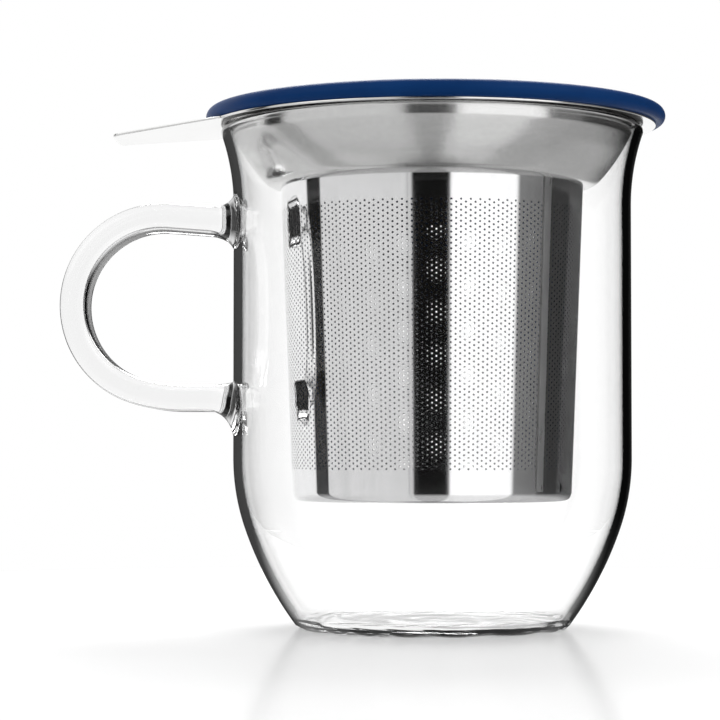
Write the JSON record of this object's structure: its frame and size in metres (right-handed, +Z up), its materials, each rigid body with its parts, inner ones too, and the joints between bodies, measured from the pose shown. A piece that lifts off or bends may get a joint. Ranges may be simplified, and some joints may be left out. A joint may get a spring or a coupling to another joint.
{
  "type": "lidded glass tea mug with basket infuser",
  "caption": "Clear glass tea mug with a looped glass handle, a hanging perforated steel basket infuser and a round blue lift-off lid.",
  "frame": {"origin": "on the mug's axis, in the plane that the foot ring stands on", "axes": "+Z up along the mug's axis, -X towards the handle and the infuser's pull tab"},
  "size_m": [0.1263, 0.0962, 0.1085],
  "materials": {
    "clear_glass": "gloss",
    "satin_steel": "satin",
    "polished_steel": "polished",
    "lid_silicone": "satin"
  },
  "bodies": {
    "mug": {"mug_body": "clear_glass", "mug_handle": "clear_glass", "handle_upper_foot": "clear_glass", "handle_lower_foot": "clear_glass"},
    "infuser": {"infuser_collar": "satin_steel", "infuser_screen": "polished_steel", "infuser_seam": "polished_steel", "infuser_floor": "polished_steel"},
    "lid": {"lid": "lid_silicone"}
  },
  "joints": [
    {"name": "infuser_lift", "type": "slide", "parent": "mug", "child": "infuser", "axis": [0, 0, 1], "range_m": [0, 0.09]},
    {"name": "lid_lift", "type": "slide", "parent": "infuser", "child": "lid", "axis": [0, 0, 1], "range_m": [0, 0.05]}
  ]
}
